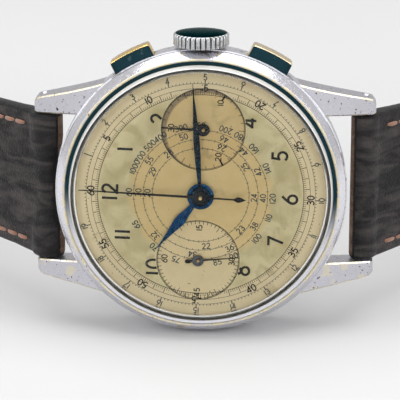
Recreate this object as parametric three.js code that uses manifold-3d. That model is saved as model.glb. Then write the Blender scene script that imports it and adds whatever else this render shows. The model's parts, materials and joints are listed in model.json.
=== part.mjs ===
// Two-register chronograph wristwatch with an open leather strap, standing on the side of its case.
//
// Every piece is drawn in the watch's own frame, in millimetres:
//   +X points to 3 o'clock (the crown), +Y to 12 o'clock and +Z out of the dial; Z = 0 is the dial's top face.
// The last section turns the watch so that it stands on a table: +Z up, the dial facing -Y, 12 o'clock towards -X.

import * as THREE from 'three';
import { mergeVertices } from 'three/addons/utils/BufferGeometryUtils.js';
import Module from 'manifold-3d';

const wasm = await Module();
wasm.setup();

// ---------------------------------------------------------------- driving dimensions

const RAD = Math.PI / 180;

const bezelRadius = 18.0;          // widest edge of the bezel
const bandRadius = 18.15;          // midcase side, a little proud of the bezel
const bandTop = -1.6;              // front edge of the midcase side
const bandBottom = -4.75;          // rear edge of the midcase side
const caseInnerRadius = 16.2;
const stemHeight = -3.15;          // crown and pusher axes
const pusherAngle = 27 * RAD;      // above and below the crown
const pusherWidth = 5.3;
const pusherHeight = 2.4;
const crownTubeRadius = 1.1;
const lean = 7.0 * RAD;            // backward lean of the standing watch

const lugGap = 19.0;
const barReach12 = 19.5;           // spring bar at 12 o'clock, from the centre
const barReach6 = 20.4;            // spring bar at 6 o'clock
const barHeight = -5.4;
const barRadius = 0.6;
const lugTipBeyondBar = 1.25;

const strapWidth = 18.8;
const strapBuckleWidth = 16.0;
const strapEyeRadius = 1.35;       // round the spring bar, in the middle
const strapThickness = 3.6;        // where it is padded
const strapEndThickness = 2.2;
const strapSplay = 45 * RAD;       // outward direction of the strap where it leaves the lugs
const strapSplayEnd = 30 * RAD;    // and at its far end
const shortStrapLength = 70;
const longStrapLength = 105;

const movementTurn = -2.25 * RAD;  // the movement sits slightly turned in its case
const plateRadius = 14.5;
const subdialOffset = 8.4;         // small seconds and minute counter, from the centre
const gearThickness = 0.2;
const arborRadius = 0.2;
const fit = 0.08;                  // running and cutting clearance

// ---------------------------------------------------------------- materials

function finish(color, metalness, roughness) {
  return new THREE.MeshStandardMaterial({ color, metalness, roughness });
}

const chromePlate = finish(0xb9bac6, 1.0, 0.3);
const satinSteel = finish(0x9a9aa2, 1.0, 0.45);
const brassWear = finish(0xc79a4b, 1.0, 0.35);
const brass = finish(0xc9a860, 1.0, 0.4);
const nickel = finish(0xb4b2a8, 1.0, 0.4);
const blueSteel = finish(0x14315c, 0.9, 0.3);
const blackSteel = finish(0x17181c, 0.8, 0.4);
const agedDial = finish(0xc8b07a, 0.1, 0.6);
const acrylic = finish(0xdfe6e2, 0.0, 0.1);
const leather = finish(0x1d1718, 0.0, 0.7);

// ---------------------------------------------------------------- geometry helpers

// Keeps positions only, with shared corners merged.
function welded(geometry) {
  const plain = geometry.clone();
  plain.deleteAttribute('normal');
  plain.deleteAttribute('uv');
  return mergeVertices(plain, 1e-4);
}

function toManifold(geometry) {
  const source = welded(geometry);
  return new wasm.Manifold(new wasm.Mesh({
    numProp: 3,
    vertProperties: new Float32Array(source.attributes.position.array),
    triVerts: new Uint32Array(source.index.array),
  }));
}

function fromManifold(solid) {
  const mesh = solid.getMesh();
  const geometry = new THREE.BufferGeometry();
  geometry.setAttribute('position', new THREE.BufferAttribute(new Float32Array(mesh.vertProperties), 3));
  geometry.setIndex(new THREE.BufferAttribute(new Uint32Array(mesh.triVerts), 1));
  return geometry;
}

function join(first, ...others) {
  return fromManifold(others.reduce((sum, other) => sum.add(toManifold(other)), toManifold(first)));
}

function cut(first, ...others) {
  return fromManifold(others.reduce((rest, other) => rest.subtract(toManifold(other)), toManifold(first)));
}

function common(first, second) {
  return fromManifold(toManifold(first).intersect(toManifold(second)));
}

// A turned solid about Z. The profile is a list of [radius, height], counter-clockwise seen with height up.
function turned(profile, segments = 48) {
  const points = profile.map(([radius, height]) => new THREE.Vector2(radius, height));
  const open = profile[0][0] === 0 && profile[profile.length - 1][0] === 0;
  if (!open) points.push(points[0].clone());
  return new THREE.LatheGeometry(points, segments).rotateX(Math.PI / 2);
}

function disc(radius, bottom, top, segments = 24) {
  return turned([[0, bottom], [radius, bottom], [radius, top], [0, top]], segments);
}

function tube(inner, outer, bottom, top, segments = 24) {
  return turned([[inner, bottom], [outer, bottom], [outer, top], [inner, top]], segments);
}

function outline(points) {
  return new THREE.Shape(points.map(([x, y]) => new THREE.Vector2(x, y)));
}

function hole(shape, x, y, radius, sides = 10) {
  const corners = Array.from({ length: sides }, (unused, i) => {
    const [dx, dy] = polar(radius, -2 * Math.PI * i / sides);
    return new THREE.Vector2(x + dx, y + dy);
  });
  shape.holes.push(new THREE.Path(corners));
  return shape;
}

function plate(shape, bottom, top, curveSegments = 10) {
  const options = { depth: top - bottom, bevelEnabled: false, curveSegments };
  return new THREE.ExtrudeGeometry(shape, options).translate(0, 0, bottom);
}

// Moves a solid drawn about Z so that its axis runs along +X at the height of the winding stem.
function alongStem(geometry) {
  return geometry.rotateY(Math.PI / 2).translate(0, 0, stemHeight);
}

function polar(radius, angle) {
  return [radius * Math.cos(angle), radius * Math.sin(angle)];
}

// A piece of a ring between two angles in degrees, as a bridge or a cock has.
function sector(inner, outer, from, to) {
  const shape = new THREE.Shape();
  shape.absarc(0, 0, outer, from * RAD, to * RAD, false);
  shape.absarc(0, 0, inner, to * RAD, from * RAD, true);
  return shape;
}

// A toothed wheel's outline with pointed teeth. A tooth points along "phase".
function gearShape(teeth, pitchRadius, phase = 0, addendum = 0.5) {
  const module = 2 * pitchRadius / teeth;
  const points = [];
  for (let i = 0; i < teeth; i += 1) {
    points.push(polar(pitchRadius + addendum * module, phase + 2 * Math.PI * i / teeth));
    points.push(polar(pitchRadius - 1.1 * module, phase + 2 * Math.PI * (i + 0.5) / teeth));
  }
  return outline(points);
}

function gear(teeth, pitchRadius, bottom, phase = 0, thickness = gearThickness) {
  return plate(gearShape(teeth, pitchRadius, phase), bottom, bottom + thickness);
}

// Two wheels are in mesh when one has a tooth and the other a gap on the line between their centres.
function bearing(from, to) {
  return Math.atan2(to[1] - from[1], to[0] - from[0]);
}

function gapTowards(from, to, teeth) {
  return bearing(from, to) + Math.PI / teeth;
}

// ---------------------------------------------------------------- scene graph

const watch = new THREE.Group();
const movement = new THREE.Group();
movement.rotation.z = movementTurn;
watch.add(movement);

function place(group, name, geometry, material, x = 0, y = 0) {
  const mesh = new THREE.Mesh(geometry, material);
  mesh.name = name;
  mesh.position.set(x, y, 0);
  group.add(mesh);
  return mesh;
}

// ---------------------------------------------------------------- case

function lug(side12, side3) {
  const reach = side12 > 0 ? barReach12 : barReach6;
  const tip = reach + lugTipBeyondBar;
  const inner = lugGap / 2;
  const plan = outline([
    [inner, 13.5], [inner, tip - 0.4], [inner + 0.4, tip], [inner + 1.5, tip],
    [inner + 1.95, tip - 0.5], [inner + 3.0, 16.2], [inner + 4.2, 11.8], [inner + 2.5, 11],
  ]);
  const profile = outline([
    [11, -2.3], [11, -5.8], [15, -6.0], [18, -6.6], [tip - 0.4, -6.8], [tip, -6.4],
    [tip, -4.3], [tip - 0.5, -3.9], [14.5, -2.65],
  ]);
  const side = plate(profile, -9, 20).applyMatrix4(new THREE.Matrix4().set(
    0, 0, 1, 0,
    1, 0, 0, 0,
    0, 1, 0, 0,
    0, 0, 0, 1,
  ));
  const drill = disc(0.42, inner - 1, inner + 4, 10)
    .rotateY(Math.PI / 2)
    .translate(0, reach, barHeight);
  const body = cut(common(plate(plan, -8, 0), side), drill);
  const handed = fromManifold(toManifold(body).scale([side3, side12, 1]));
  return handed;
}

function buildMidcase() {
  const ring = turned([
    [15.2, bandTop], [15.2, -6.0], [17.0, -6.0], [17.95, bandBottom - 0.35], [bandRadius, bandBottom],
    [bandRadius, bandTop],
  ], 48);
  const lugs = [[1, 1], [1, -1], [-1, 1], [-1, -1]].map(([side12, side3]) => lug(side12, side3));
  const bore = disc(caseInnerRadius, -8, 0, 48);
  const pocket = new THREE.BoxGeometry(6, pusherWidth + 2 * fit, pusherHeight + 2 * fit);
  const pockets = [pusherAngle, -pusherAngle].map((angle) => pocket.clone()
    .translate(17.5, 0, stemHeight)
    .rotateZ(angle));
  const tubeHole = alongStem(disc(crownTubeRadius + fit, 14, 20, 16));
  return cut(join(ring, ...lugs), bore, tubeHole, ...pockets);
}

function buildBezel() {
  return turned([
    [bezelRadius, -1.5], [bezelRadius, -1.3], [17.1, -0.15], [16.85, -0.35],
    [16.85, -1.05], [16.0, -1.05], [16.0, -1.5],
  ], 48);
}

function buildCrystal() {
  return turned([
    [0, 2.15], [8, 1.85], [14.5, 1.2], [15.3, 1.08], [15.85, 0.55], [15.85, -0.95],
    [16.75, -0.95], [16.75, -0.45], [16.35, 0.0], [16.1, 0.7], [15.3, 1.45], [8, 2.35], [0, 2.7],
  ], 36);
}

function buildCaseBack() {
  return turned([
    [0, -7.6], [12, -7.6], [16.2, -7.15], [17.0, -6.5], [17.0, -6.1], [16.1, -6.1], [16.1, -5.6],
    [15.5, -5.6], [15.5, -6.6], [0, -6.6],
  ], 40);
}

place(watch, 'midcase', buildMidcase(), satinSteel);
place(watch, 'bezel', buildBezel(), chromePlate);
place(watch, 'crystal', buildCrystal(), acrylic);
place(watch, 'case_back', buildCaseBack(), satinSteel);

const crownTube = join(
  alongStem(tube(0.75, crownTubeRadius, 16.3, 18.08, 16)),
  alongStem(tube(0.75, crownTubeRadius - 0.2, 17.98, 18.48, 16)),
);
place(watch, 'crown_tube', crownTube, brass);

function springBar(reach) {
  const half = lugGap / 2;
  const bar = join(disc(barRadius, -half + 0.1, half - 0.1, 10), disc(0.34, -half - 1.2, half + 1.2, 10));
  return bar.rotateY(Math.PI / 2).translate(0, reach, barHeight);
}

place(watch, 'spring_bar_12', springBar(barReach12), satinSteel);
place(watch, 'spring_bar_6', springBar(-barReach6), satinSteel);

// ---------------------------------------------------------------- dial and motion work

const subdials = { small_seconds: [-subdialOffset, 0], minute_counter: [subdialOffset, 0] };

function buildDial() {
  const shape = new THREE.Shape().absarc(0, 0, 15.7, 0, 2 * Math.PI);
  hole(shape, 0, 0, 1.05, 20);
  Object.values(subdials).forEach(([x, y]) => hole(shape, x, y, 0.35));
  return plate(shape, -0.4, 0, 24);
}

function hubbedHand(points, hubRadius, boreRadius, bottom, top) {
  const blade = plate(outline(points), bottom, top);
  const hub = disc(hubRadius, bottom, top, 20);
  const bore = disc(boreRadius, bottom - 1, top + 1, 16);
  return cut(join(blade, hub), bore);
}

// A leaf-shaped blade that points along +X.
function leaf(length, rootWidth, midWidth) {
  return [
    [0, -rootWidth / 2], [length * 0.45, -midWidth / 2], [length, -0.05],
    [length, 0.05], [length * 0.45, midWidth / 2], [0, rootWidth / 2],
  ];
}

// Dial angles run clockwise from 12 o'clock, which is +Y.
function towards(geometry, dialAngle) {
  return geometry.rotateZ(Math.PI / 2 - dialAngle * RAD);
}

place(movement, 'dial', buildDial(), agedDial);
place(movement, 'hour_hand', towards(hubbedHand(leaf(8.9, 0.6, 1.3), 1.65, 1.0, 0.45, 0.6), 307), blueSteel);
place(movement, 'minute_hand', towards(hubbedHand(leaf(14.4, 0.4, 0.8), 1.2, 0.68, 0.75, 0.87), 84), blueSteel);

const chronographBlade = [
  [-5.6, 0], [-4.7, -0.38], [-4.1, -0.1], [0, -0.17], [15.1, -0.09], [15.1, 0.09], [0, 0.17], [-4.1, 0.1], [-4.7, 0.38],
];
const chronographHand = hubbedHand(chronographBlade, 0.75, 0.22, 0.97, 1.04);
place(movement, 'chronograph_hand', towards(chronographHand, 1.0), blackSteel);

const smallSecondsBlade = [
  [-1.6, -0.3], [-0.5, -0.12], [5.0, -0.07], [5.0, 0.07], [-0.5, 0.12], [-1.6, 0.3],
];
const smallSecondsHand = hubbedHand(smallSecondsBlade, 0.73, 0.22, 0.2, 0.3);
place(movement, 'small_seconds_hand', towards(smallSecondsHand, 173), blackSteel, ...subdials.small_seconds);

const minuteCounterBlade = [[0, -0.16], [5.0, -0.06], [5.0, 0.06], [0, 0.16]];
const minuteCounterHand = hubbedHand(minuteCounterBlade, 0.8, 0.22, 0.2, 0.3);
place(movement, 'minute_counter_hand', towards(minuteCounterHand, 0), blackSteel, ...subdials.minute_counter);

// The cannon pinion turns the minute wheel 1:3, whose pinion turns the hour wheel 1:4.
const motionWork = { cannonTeeth: 12, minuteTeeth: 36, minutePinionTeeth: 10, hourTeeth: 40 };
const motionCentre = 3.6;
const motionAngle = -70 * RAD;

function pinionPair(centre, driverTeeth, followerTeeth) {
  const total = driverTeeth + followerTeeth;
  return [centre * driverTeeth / total, centre * followerTeeth / total];
}

const [cannonRadius, minuteRadius] = pinionPair(motionCentre, motionWork.cannonTeeth, motionWork.minuteTeeth);
const [minutePinionRadius, hourRadius] = pinionPair(
  motionCentre, motionWork.minutePinionTeeth, motionWork.hourTeeth,
);
const cannonPinion = cut(
  join(gear(motionWork.cannonTeeth, cannonRadius, -1.2, motionAngle), disc(0.62, -1.2, 0.93, 14)),
  disc(0.48, -2, 2, 14),
);
place(movement, 'cannon_pinion', cannonPinion, nickel);

const minuteWheel = join(
  gear(motionWork.minuteTeeth, minuteRadius, -1.2, motionAngle + Math.PI + Math.PI / motionWork.minuteTeeth),
  gear(motionWork.minutePinionTeeth, minutePinionRadius, -1.05, motionAngle + Math.PI, 0.45),
);
place(movement, 'minute_wheel', minuteWheel, brass, ...polar(motionCentre, motionAngle));

const hourPhase = motionAngle + Math.PI / motionWork.hourTeeth;
const hourWheel = cut(
  join(gear(motionWork.hourTeeth, hourRadius, -0.85, hourPhase), disc(0.93, -0.85, 0.65, 20)),
  disc(0.68, -2, 2, 16),
);
place(movement, 'hour_wheel', hourWheel, brass);

// ---------------------------------------------------------------- plate and bridges

const barrelAt = polar(5.25, 40 * RAD);
const thirdAt = [-4.495, 0.21];
const fourthAt = subdials.small_seconds;
const escapeAt = [fourthAt[0] + 3.85 * Math.cos(-75 * RAD), 3.85 * Math.sin(-75 * RAD)];
const balanceAt = [-3.6, -8.2];
const palletAt = [-5.78, -5.63];
const recorderAt = subdials.minute_counter;
const crownWheelAt = [10.41, 2.47];
const couplingAt = [-4.622, 0.97];

function buildMainPlate() {
  const shape = new THREE.Shape().absarc(0, 0, plateRadius, 0, 2 * Math.PI);
  hole(shape, 0, 0, 0.42 + fit);
  [thirdAt, fourthAt, escapeAt, balanceAt, palletAt, recorderAt, barrelAt].forEach(([x, y]) => {
    hole(shape, x, y, arborRadius + fit);
  });
  return plate(shape, -1.9, -1.3, 20);
}

const bridgeBottom = -3.9;
const bridgeTop = -3.6;

function bridge(from, to, arbors, bottom = bridgeBottom, top = bridgeTop) {
  const shape = sector(1.3, 12.3, from, to);
  arbors.forEach(([x, y, radius]) => hole(shape, x, y, radius + fit));
  return plate(shape, bottom, top, 8);
}

function pillar(angle, radius = 11.6) {
  const [x, y] = polar(radius, angle * RAD);
  return disc(0.6, bridgeBottom + 0.1, -1.95, 12).translate(x, y, 0);
}

const barrelBridge = join(bridge(9, 130, [[...barrelAt, 0.5]]), pillar(62), pillar(118));
const trainBridge = join(
  bridge(140, 232, [[...thirdAt, arborRadius], [...fourthAt, arborRadius], [...escapeAt, arborRadius]]),
  pillar(146),
  pillar(226),
);
const cockShape = sector(7.4, 14.2, 240, 254);
const balanceCock = join(
  plate(hole(cockShape, ...balanceAt, arborRadius + fit), -4.3, -4.0),
  plate(sector(13.1, 14.2, 240, 254), -4.1, -1.95),
);
const movementRing = tube(14.65, 15.7, -2.3, -0.45, 32);

place(watch, 'movement_ring', movementRing, brass);
place(movement, 'main_plate', buildMainPlate(), nickel);
place(movement, 'barrel_bridge', barrelBridge, nickel);
place(movement, 'train_bridge', trainBridge, nickel);
place(movement, 'balance_cock', balanceCock, nickel);

const screwAngles = { barrel_bridge_screw_1: 62, barrel_bridge_screw_2: 118, train_bridge_screw: 146 };
Object.entries(screwAngles).forEach(([name, angle]) => {
  const screw = disc(0.7, bridgeBottom - 0.35, bridgeBottom - 0.05, 12);
  place(movement, name, screw, blueSteel, ...polar(11.6, angle * RAD));
});

// ---------------------------------------------------------------- going train

function arbor(bottom, top, radius = arborRadius) {
  return disc(radius, bottom, top, 10);
}

// Centre wheel 48 to third pinion 6, and third wheel 45 to fourth pinion 6: the fourth wheel turns 60 times an hour.
const origin = [0, 0];
const train = {
  barrel: 48, centrePinion: 8, centre: 48, thirdPinion: 6, third: 45, fourthPinion: 6, fourth: 60, escapePinion: 6,
};

const centreWheel = cut(
  join(
    gear(train.centre, 4.0, -2.6, bearing(origin, thirdAt)),
    gear(train.centrePinion, 0.75, -3.45, gapTowards(origin, barrelAt, train.centrePinion), 0.6),
    disc(0.42, -3.5, 0.93, 14),
    disc(0.6, -2.9, -2.45, 14),
  ),
  disc(arborRadius + 0.07, -4, 2, 12),
);
place(movement, 'centre_wheel', centreWheel, brass);

const barrel = join(
  gear(train.barrel, 4.5, -3.1, bearing(barrelAt, origin), 0.3),
  disc(4.2, -3.45, -2.7, 28),
  arbor(-4.05, -1.4, 0.18),
);
place(movement, 'mainspring_barrel', barrel, brass, ...barrelAt);

const thirdWheel = join(
  gear(train.third, 3.45, -3.0, bearing(thirdAt, fourthAt)),
  gear(train.thirdPinion, 0.5, -2.75, gapTowards(thirdAt, origin, train.thirdPinion), 0.4),
  arbor(-3.8, -1.4),
);
place(movement, 'third_wheel', thirdWheel, brass, ...thirdAt);

const fourthWheel = join(
  gear(train.fourth, 3.5, -3.4, bearing(fourthAt, escapeAt)),
  gear(train.fourthPinion, 0.46, -3.2, gapTowards(fourthAt, thirdAt, train.fourthPinion), 0.45),
  arbor(-5.1, 0.42),
);
place(movement, 'fourth_wheel', fourthWheel, brass, ...fourthAt);

const chronographTrain = { driving: 26, coupling: 13, runner: 30, recorder: 30 };
const drivingWheel = cut(
  gear(chronographTrain.driving, 2.6, -4.95, bearing(fourthAt, couplingAt)),
  disc(arborRadius + 0.05, -6, 0, 12),
);
place(movement, 'driving_wheel', drivingWheel, brass, ...fourthAt);

function escapeShape() {
  const points = [];
  for (let i = 0; i < 15; i += 1) {
    const angle = 2 * Math.PI * i / 15;
    points.push(polar(1.9, angle), polar(1.4, angle - 0.1), polar(1.25, angle - 0.3));
  }
  return outline(points.reverse());
}

const escapePinionPhase = gapTowards(escapeAt, fourthAt, train.escapePinion);
const escapeWheel = join(
  plate(escapeShape(), -2.75, -2.6),
  gear(train.escapePinion, 0.35, -3.4, escapePinionPhase, 0.75),
  arbor(-3.8, -1.4),
);
place(movement, 'escape_wheel', escapeWheel, satinSteel, ...escapeAt);

function buildPalletFork() {
  const shape = outline([
    [-0.3, -0.2], [-0.75, -1.5], [-0.45, -1.6], [0.15, -0.35], [2.2, -0.12], [2.7, -0.3], [2.7, 0.3],
    [2.2, 0.12], [0.15, 0.35], [-0.45, 1.6], [-0.75, 1.5], [-0.3, 0.2],
  ]);
  return join(plate(shape, -2.72, -2.6).rotateZ(bearing(palletAt, balanceAt)), arbor(-3.1, -1.4, 0.15));
}

place(movement, 'pallet_fork', buildPalletFork(), satinSteel, ...palletAt);

const balanceWheel = join(
  tube(3.4, 3.9, -3.55, -3.2, 28),
  new THREE.BoxGeometry(7.2, 0.5, 0.15).translate(0, 0, -3.4),
  arbor(-4.25, -1.4, 0.15),
);
place(movement, 'balance_wheel', balanceWheel, brass, ...balanceAt);

// A flat spiral ribbon, pinned to the balance staff's collet at its inner end.
function buildHairspring() {
  const turns = 2.5;
  const steps = 30;
  const edge = (offset) => Array.from({ length: steps + 1 }, (unused, i) => {
    const t = i / steps;
    return polar(0.45 + 1.6 * t + offset, 2 * Math.PI * turns * t);
  });
  return plate(outline([...edge(0.05), ...edge(-0.05).reverse()]), -3.85, -3.65);
}

place(movement, 'hairspring', buildHairspring(), blueSteel, ...balanceAt);

// ---------------------------------------------------------------- winding and setting

const winding = { ratchet: 28, crownWheel: 12, pinion: 10 };
const ratchetWheel = join(
  gear(winding.ratchet, 4.515, -4.4, bearing(barrelAt, crownWheelAt), 0.25),
  disc(0.5, -4.45, -4.1, 12),
);
place(movement, 'ratchet_wheel', ratchetWheel, satinSteel, ...barrelAt);
const crownWheelPhase = gapTowards(crownWheelAt, barrelAt, winding.crownWheel);
const crownWheel = gear(winding.crownWheel, 1.935, -4.4, crownWheelPhase, 0.25);
place(movement, 'crown_wheel', crownWheel, satinSteel, ...crownWheelAt);

const stemRadius = 0.45;
const stemOuter = 19.08;
const stemSquare = new THREE.BoxGeometry(2.9, 0.6, 0.6).translate(10.4, 0, stemHeight);
const stem = join(alongStem(disc(stemRadius, 11.8, stemOuter, 14)), stemSquare);
place(watch, 'winding_stem', stem, satinSteel);

function stemPinion(teeth, radius, from, to, bore) {
  return cut(alongStem(plate(gearShape(teeth, radius), from, to)), bore);
}

const squareBore = new THREE.BoxGeometry(8, 0.6 + fit, 0.6 + fit).translate(10, 0, stemHeight);
place(watch, 'sliding_pinion', stemPinion(winding.pinion, 0.8, 9.0, 10.1, squareBore), satinSteel);
const roundBore = alongStem(disc(0.52, 5, 20, 12));
place(watch, 'winding_pinion', stemPinion(winding.pinion, 0.8, 10.3, 11.1, roundBore), satinSteel);

const crownRadius = 3.43;
const crownInner = 18.23;
const crownOuter = 19.88;

function buildCrown() {
  const flutes = 32;
  const shape = outline(Array.from({ length: 2 * flutes }, (unused, i) => {
    const radius = i % 2 === 0 ? crownRadius : crownRadius - 0.22;
    return polar(radius, Math.PI * i / flutes);
  }));
  const body = alongStem(plate(shape, crownInner, crownOuter));
  const domeProfile = [
    [0, crownOuter - 0.1], [3.0, crownOuter - 0.1], [2.6, crownOuter + 0.15], [0, crownOuter + 0.25],
  ];
  const dome = alongStem(turned(domeProfile, 20));
  const recess = alongStem(disc(1.2, 18, crownInner + 0.5, 16));
  const stemBore = alongStem(disc(stemRadius + 0.03, 18, stemOuter + 0.05, 14));
  return cut(join(body, dome), recess, stemBore);
}

place(watch, 'crown', buildCrown(), satinSteel);

// ---------------------------------------------------------------- chronograph work

const runner = join(gear(chronographTrain.runner, 3.0, -4.95), disc(0.8, -5.6, -4.9, 12), arbor(-5.65, 1.45));
place(movement, 'chronograph_runner', runner, brass);
const recorder = join(gear(chronographTrain.recorder, 2.6, -4.95), disc(0.7, -5.6, -4.9, 12), arbor(-5.65, 0.42));
place(movement, 'minute_recorder_wheel', recorder, brass, ...recorderAt);
const couplingPhase = gapTowards(couplingAt, fourthAt, chronographTrain.coupling);
const couplingWheel = join(gear(chronographTrain.coupling, 1.3, -4.95, couplingPhase), arbor(-5.15, -4.8));
place(movement, 'coupling_wheel', couplingWheel, brass, ...couplingAt);

const leverBottom = -5.55;
const leverTop = -5.25;

// The coupling lever swings about the fourth wheel's axis and carries the coupling wheel.
const couplingLever = plate(outline([[-1.4, -0.6], [4.4, -0.35], [4.4, 0.35], [-1.4, 0.6]]), leverBottom, leverTop)
  .rotateZ(bearing(fourthAt, couplingAt));
place(movement, 'coupling_lever', couplingLever, satinSteel, ...fourthAt);

// Both levers are driven by a post that the pusher's stem presses on.
const leverPivot = { radius: 12.4, angle: 62 * RAD };
const postRadius = 13.95;

function pusherLever(side, toe) {
  const pivot = polar(leverPivot.radius, side * leverPivot.angle);
  const post = polar(postRadius, side * pusherAngle);
  const reach = [post[0] - pivot[0], post[1] - pivot[1]];
  const arm = outline([
    [0.3, side * 0.7], [reach[0] + 0.25, reach[1] + side * 0.4], [reach[0] + 0.3, reach[1] - side * 0.5],
    [reach[0] - 0.5, reach[1] - side * 0.3], [toe[0] - pivot[0], toe[1] - pivot[1]], [-0.6, -side * 0.5],
  ]);
  const block = new THREE.BoxGeometry(0.5, 1.2, 2.4)
    .rotateZ(side * pusherAngle)
    .translate(reach[0], reach[1], -4.15);
  return { geometry: join(plate(arm, leverBottom, leverTop), block), pivot };
}

const operating = pusherLever(1, [4.2, 6.4]);
place(movement, 'operating_lever', operating.geometry, satinSteel, ...operating.pivot);
const hammer = pusherLever(-1, [3.4, -4.6]);
place(movement, 'reset_hammer', hammer.geometry, satinSteel, ...hammer.pivot);

const camShape = gearShape(8, 1.4, 0, 0.3);
place(movement, 'chronograph_cam', join(plate(camShape, leverBottom, leverTop), arbor(-5.6, -4.7)), satinSteel, 1.6, 6.6);

const chronographBridge = plate(outline([
  [-2.2, -1.1], [10.4, -1.3], [11.2, 0], [10.4, 1.3], [-2.2, 1.1],
]), -6.15, -5.8);
place(movement, 'chronograph_bridge', chronographBridge, nickel);

// ---------------------------------------------------------------- pushers

const pusherInner = 16.95;
const pusherOuter = 19.7;
const pusherStemInner = 14.35;

function buildPusher(side) {
  const block = new THREE.BoxGeometry(pusherOuter - pusherInner, pusherWidth, pusherHeight)
    .translate((pusherInner + pusherOuter) / 2, 0, stemHeight);
  const face = disc(pusherOuter, -6, 0, 64).rotateZ(Math.PI / 64);
  const shaft = alongStem(disc(0.5, pusherStemInner, pusherInner + 0.5, 12));
  return join(common(block, face), shaft).rotateZ(side * pusherAngle);
}

place(watch, 'start_pusher', buildPusher(1), brassWear);
place(watch, 'reset_pusher', buildPusher(-1), brassWear);

// ---------------------------------------------------------------- strap

// The strap's centre line in the plane across the lugs: it leaves the spring bar outward and bends backward.
function strapPoint(distance, length) {
  const steps = 24;
  const turnAt = (along) => strapSplay + (strapSplayEnd - strapSplay) * along / length;
  const at = [0, barHeight];
  for (let i = 0; i < steps; i += 1) {
    const direction = turnAt((i + 0.5) / steps * distance);
    at[0] += Math.sin(direction) * distance / steps;
    at[1] -= Math.cos(direction) * distance / steps;
  }
  return { at, turn: turnAt(distance) };
}

// Half the strap's thickness: thin round the bar, padded next to the lugs, thin again further on.
function halfThickness(distance, length) {
  const rise = Math.min(distance / 7, 1);
  const fall = Math.min(Math.max((distance - 12) / (0.4 * length), 0), 1);
  const padded = 2 * strapEyeRadius + (strapThickness - 2 * strapEyeRadius) * rise;
  return (padded + (strapEndThickness - strapThickness) * fall) / 2;
}

// Half the strap's width, drawn in to a round tip where it has one.
function halfWidth(distance, length, tipLength) {
  const even = (strapWidth + (strapBuckleWidth - strapWidth) * distance / length) / 2;
  if (tipLength === 0 || length - distance > tipLength) return even;
  const intoTip = 1 - (length - distance) / tipLength;
  return even * Math.max(Math.sqrt(1 - intoTip ** 2), 0.3);
}

// A band along the centre line, as one closed skin of four-cornered rows.
function buildBand(length, tipLength, rows) {
  const corners = [];
  for (let i = 0; i <= rows; i += 1) {
    const distance = length * i / rows;
    const { at, turn } = strapPoint(distance, length);
    const across = halfWidth(distance, length, tipLength);
    const through = halfThickness(distance, length);
    [[-1, -1], [1, -1], [1, 1], [-1, 1]].forEach(([side, face]) => {
      const lift = face * through;
      corners.push(side * across, at[0] + lift * Math.cos(turn), at[1] + lift * Math.sin(turn));
    });
  }
  const index = [];
  for (let i = 0; i < rows; i += 1) {
    for (let k = 0; k < 4; k += 1) {
      const [a, b] = [4 * i + k, 4 * i + (k + 1) % 4];
      index.push(a, a + 4, b, b, a + 4, b + 4);
    }
  }
  const last = 4 * rows;
  index.push(0, 1, 2, 0, 2, 3, last, last + 2, last + 1, last, last + 3, last + 2);
  const geometry = new THREE.BufferGeometry();
  geometry.setAttribute('position', new THREE.Float32BufferAttribute(corners, 3));
  geometry.setIndex(index);
  return geometry;
}

// The rolled end round the spring bar. Beside the lugs it may be thicker than in front of the round case.
function rolledEnd(middleRadius, sideRadius) {
  const half = strapWidth / 2;
  return turned([
    [0, -half], [sideRadius, -half], [sideRadius, -6], [middleRadius, -3],
    [middleRadius, 3], [sideRadius, 6], [sideRadius, half], [0, half],
  ], 16).rotateY(Math.PI / 2).translate(0, 0, barHeight);
}

function acrossBar(geometry, distance, length) {
  const { at } = strapPoint(distance, length);
  return geometry.rotateY(Math.PI / 2).translate(0, at[0], at[1]);
}

function toSide12(geometry) {
  return geometry.translate(0, barReach12, 0);
}

function toSide6(geometry) {
  return fromManifold(toManifold(geometry.translate(0, barReach6, 0)).scale([1, -1, 1]));
}

// Things fixed to the short half are drawn flat, x across the strap, y along it and z through it, then carried there.
function onShortStrap(geometry, distance, offset = 0) {
  const { at, turn } = strapPoint(distance, shortStrapLength);
  return toSide12(geometry.translate(0, 0, offset).rotateX(turn - Math.PI / 2).translate(0, ...at));
}

const buckleBarAt = shortStrapLength - 1.1;
const buckleBarRadius = 0.65;

function buildShortStrap() {
  const band = join(buildBand(shortStrapLength, 0, 14), rolledEnd(strapEyeRadius, 2.1));
  const lugEye = acrossBar(disc(barRadius + 0.15, -15, 15, 12), 0, shortStrapLength);
  const buckleEye = acrossBar(disc(buckleBarRadius + fit, -15, 15, 12), buckleBarAt, shortStrapLength);
  const notch = new THREE.BoxGeometry(2.2, 5, 6);
  const { at, turn } = strapPoint(shortStrapLength, shortStrapLength);
  notch.rotateX(turn - Math.PI / 2).translate(0, ...at);
  return toSide12(cut(band, lugEye, buckleEye, notch));
}

function buildLongStrap() {
  const band = join(buildBand(longStrapLength, 10, 24), rolledEnd(1.75, 1.75));
  const lugEye = acrossBar(disc(barRadius + 0.15, -15, 15, 12), 0, longStrapLength);
  const holes = Array.from({ length: 7 }, (unused, i) => {
    const { at, turn } = strapPoint(longStrapLength - 24 - 6 * i, longStrapLength);
    return disc(0.9, -4, 4, 10).rotateX(turn - Math.PI / 2).translate(0, ...at);
  });
  return toSide6(cut(band, lugEye, ...holes));
}

place(watch, 'strap_short', buildShortStrap(), leather);
place(watch, 'strap_long', buildLongStrap(), leather);

const buckleBar = disc(buckleBarRadius, -9.9, 9.9, 12).rotateY(Math.PI / 2);
place(watch, 'buckle_bar', onShortStrap(buckleBar, buckleBarAt), satinSteel);

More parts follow.
